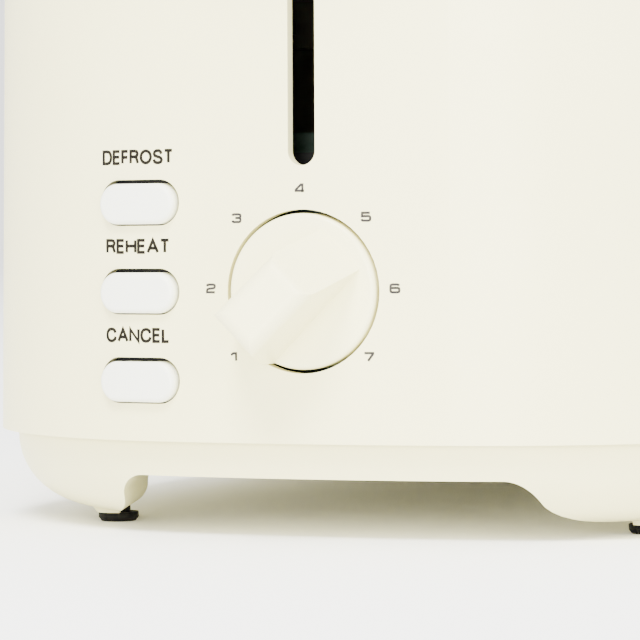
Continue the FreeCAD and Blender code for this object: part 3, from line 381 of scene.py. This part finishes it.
# Numeral, and the x and z of its middle.
NUMERALS = (("1", -14.34, 36.09), ("2", -19.56, 49.44), ("3", -13.87, 63.12), ("4", -0.31, 68.75),
            ("5", 13.23, 63.14), ("6", 18.98, 49.35), ("7", 13.68, 36.19))


def surface(node):
    """A search tree of a CAD node's surface, in the world."""
    shape = NODES[node]
    corners = [shape.matrix_world @ v.co for v in shape.data.vertices]
    return BVHTree.FromPolygons(corners, [tuple(p.vertices) for p in shape.data.polygons])


FACE = surface("outer_shell")


def on_face(x, z, height):
    """The point of the front face at x and z in millimetres, stood off by a height in metres."""
    spot, normal, _, _ = FACE.ray_cast(Vector((x * MM, IN_FRONT, z * MM)), Vector((0, 1, 0)))
    if normal.y > 0:
        normal = -normal
    return spot + normal * height


def offsets(line, closed, half):
    """The two edges of a stroke along a line, mitred at its corners."""
    count = len(line)
    left, right = [], []
    for n in range(count):
        before = line[n - 1] if n or closed else None
        after = line[(n + 1) % count] if n < count - 1 or closed else None
        normals = []
        for start, stop in ((before, line[n]), (line[n], after)):
            if start is not None and stop is not None:
                along = (stop - start).normalized()
                normals.append(Vector((-along.y, along.x)))
        middle = sum(normals, Vector((0, 0))).normalized()
        reach = half / max(MITRE_LIMIT, middle.dot(normals[0]))
        left.append(line[n] + middle * reach)
        right.append(line[n] - middle * reach)
    return left, right


def add_stroke(verts, faces, points, half):
    """One raised ribbon of ink, with a top and sides, laid on the front face."""
    line = [Vector(p) for p in points]
    closed = (line[0] - line[-1]).length < SAME_POINT
    if closed:
        line.pop()
    edges = list(zip(*offsets(line, closed, half)))
    if closed:
        edges.append(edges[0])
    rows = [edges[0]]
    for (left, right), (next_left, next_right) in zip(edges, edges[1:]):
        steps = max(1, math.ceil((next_left - left).length / PRINT_STEP))
        rows.extend((left.lerp(next_left, n / steps), right.lerp(next_right, n / steps))
                    for n in range(1, steps + 1))
    first = len(verts)
    for a, b in rows:
        verts.extend([on_face(*a, PRINT_ROOT), on_face(*a, PRINT_HEIGHT),
                      on_face(*b, PRINT_HEIGHT), on_face(*b, PRINT_ROOT)])
    last = len(verts) - 4
    for here in range(first, last, 4):
        faces.extend([(here + k, here + k + 1, here + k + 5, here + k + 4) for k in range(3)])
    if not closed:
        faces.append(tuple(first + k for k in (3, 2, 1, 0)))
        faces.append(tuple(last + k for k in range(4)))


def add_sign(verts, faces, sign, low, size, stroke):
    """A sign's strokes inside a box on the face; the box is measured over the ink."""
    half = stroke / 2
    for points in STROKES[sign]:
        placed = [(low[0] + half + x * (size[0] - stroke), low[1] + half + z * (size[1] - stroke))
                  for x, z in points]
        add_stroke(verts, faces, placed, half)


for word, left_end, right_end, bottom in LABELS:
    verts, faces = [], []
    natural = sum(WIDTHS[c] for c in word) + LETTER_GAP * (len(word) - 1)
    scale = (right_end - left_end) / natural
    at = left_end
    for letter in word:
        size = (WIDTHS[letter] * scale, CAP_HEIGHT)
        add_sign(verts, faces, letter, (at, bottom), size, LABEL_STROKE)
        at += (WIDTHS[letter] + LETTER_GAP) * scale
    mesh_piece(f"label_{word.lower()}", verts, faces, "housing", INK, smooth=False)

verts, faces = [], []
across, tall = NUMERAL_SIZE[0] + NUMERAL_STROKE, NUMERAL_SIZE[1] + NUMERAL_STROKE
for numeral, x, z in NUMERALS:
    add_sign(verts, faces, numeral, (x - across / 2, z - tall / 2), (across, tall), NUMERAL_STROKE)
mesh_piece("dial_numerals", verts, faces, "housing", FAINT_INK, smooth=False)

# ------------------------------------------------------------------ return spring

SPRING_WIRE = 0.42 * MM       # radius of the wire
SPRING_TURNS = 24
END_TURNS = 2                 # close turns at each end
END_PITCH = 1.0 * MM          # from one close turn to the next
TURN_STEPS = 20
WIRE_SIDES = 8


def tube(path, radius, sides):
    """A round wire along a path, with closed ends; returns its vertices and faces."""
    verts, faces = [], []
    side = None
    for n, point in enumerate(path):
        ahead = (path[min(n + 1, len(path) - 1)] - path[max(n - 1, 0)]).normalized()
        side = (ahead.orthogonal() if side is None else side - ahead * side.dot(ahead)).normalized()
        other = ahead.cross(side)
        for k in range(sides):
            turn = math.tau * k / sides
            verts.append(point + (side * math.cos(turn) + other * math.sin(turn)) * radius)
    for n in range(len(path) - 1):
        for k in range(sides):
            here, there = n * sides, (n + 1) * sides
            faces.append((here + k, here + (k + 1) % sides, there + (k + 1) % sides, there + k))
    faces.append(tuple(reversed(range(sides))))
    faces.append(tuple(range((len(path) - 1) * sides, len(path) * sides)))
    return verts, faces


def coil_path(middle, low, high, radius):
    """An upright extension spring from low to high: close turns at its ends, open ones between."""
    ends = END_TURNS * END_PITCH
    open_turns = SPRING_TURNS - 2 * END_TURNS
    path = []
    for n in range(SPRING_TURNS * TURN_STEPS + 1):
        done = n / TURN_STEPS
        if done <= END_TURNS:
            z = low + done * END_PITCH
        elif done >= SPRING_TURNS - END_TURNS:
            z = high - (SPRING_TURNS - done) * END_PITCH
        else:
            z = low + ends + (done - END_TURNS) / open_turns * (high - low - 2 * ends)
        angle = math.tau * done
        path.append(Vector((middle.x + radius * math.cos(angle),
                            middle.y + radius * math.sin(angle), z)))
    return path


spring_low, spring_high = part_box("return_spring")
spring_mid = mid("return_spring")
spring_radius = (spring_high.x - spring_low.x) / 2 - SPRING_WIRE
spring_path = coil_path(spring_mid, spring_low.z + SPRING_WIRE, spring_high.z - SPRING_WIRE,
                        spring_radius)
verts, faces = tube(spring_path, SPRING_WIRE, WIRE_SIDES)
coil = mesh_piece("spring_coil", verts, faces, None, finishes["screw_steel"])
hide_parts("return_spring")
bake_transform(coil)

# ------------------------------------------------------------------ camera, floor and light

# The camera's place and aim were fitted to the photo.
VIEW_YAW = 0.391              # to the right of the front face's normal, in radians
VIEW_DISTANCE = 0.6858        # along the floor, from below the middle of the front face
VIEW_HEIGHT = 0.0633
AIM_RIGHT = 0.00561           # slopes of the aim, from straight and level at the front face
AIM_DOWN = 0.02914
ROLL = 0.011                  # radians
LENS_MM = 199.66
SENSOR_MM = 36.0
CLIP_NEAR, CLIP_FAR = 0.05, 50.0

FLOOR_REACH = 6.0             # from the middle of the floor to its sides
LAMP_TARGET = (0.0, 0.0, 0.1)
LAMPS = (                     # name, place, size across and watts
    ("key", (0.15, -1.5, 2.0), 0.9, 150.0),
    ("fill", (1.5, -1.3, 0.8), 1.4, 34.0),
    ("low", (0.3, -2.4, 0.25), 1.0, 80.0),
    ("top", (0.0, 0.5, 2.2), 1.8, 34.0),
)
WORLD_STRENGTH = 2.2


def add_camera():
    """The scene's camera, at the photo's angle."""
    shell_low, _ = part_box("outer_shell")
    face = Vector((0.0, shell_low.y, 0.0))
    away = Vector((math.sin(VIEW_YAW), -math.cos(VIEW_YAW), 0.0))
    eye = face + away * VIEW_DISTANCE + Vector((0, 0, VIEW_HEIGHT))
    ahead, up = -away, Vector((0, 0, 1))
    right = ahead.cross(up)
    tilted_right = right * math.cos(ROLL) - up * math.sin(ROLL)
    tilted_up = right * math.sin(ROLL) + up * math.cos(ROLL)
    aim = (ahead + tilted_right * AIM_RIGHT - tilted_up * AIM_DOWN).normalized()
    side = aim.cross(tilted_up).normalized()
    top = side.cross(aim)
    data = bpy.data.cameras.new("view")
    data.lens = LENS_MM
    data.sensor_width = SENSOR_MM
    data.clip_start, data.clip_end = CLIP_NEAR, CLIP_FAR
    camera = bpy.data.objects.new("view", data)
    turn = Matrix((side, top, -aim)).transposed().to_4x4()
    camera.matrix_world = Matrix.Translation(eye) @ turn
    bpy.context.scene.collection.objects.link(camera)
    bpy.context.scene.camera = camera


def add_floor():
    """A flat pale floor at z 0."""
    reach = FLOOR_REACH
    mesh = bpy.data.meshes.new("floor")
    corners = [(-reach, -reach, 0), (reach, -reach, 0), (reach, reach, 0), (-reach, reach, 0)]
    mesh.from_pydata(corners, [], [(0, 1, 2, 3)])
    mesh.materials.append(floor_finish("pale_floor"))
    floor = bpy.data.objects.new("floor", mesh)
    bpy.context.scene.collection.objects.link(floor)


def add_lamp(name, place, size, watts):
    """A round soft lamp aimed at the body."""
    data = bpy.data.lights.new(name, "AREA")
    data.shape = "DISK"
    data.size = size
    data.energy = watts
    lamp = bpy.data.objects.new(name, data)
    lamp.location = place
    aim = Vector(LAMP_TARGET) - Vector(place)
    lamp.rotation_euler = aim.to_track_quat("-Z", "Y").to_euler()
    bpy.context.scene.collection.objects.link(lamp)


def add_world():
    """An even white surround."""
    world = bpy.data.worlds.new("studio")
    world.use_nodes = True
    back = world.node_tree.nodes["Background"]
    back.inputs["Color"].default_value = (1.0, 1.0, 1.0, 1.0)
    back.inputs["Strength"].default_value = WORLD_STRENGTH
    bpy.context.scene.world = world


add_camera()
add_floor()
for lamp_row in LAMPS:
    add_lamp(*lamp_row)
add_world()
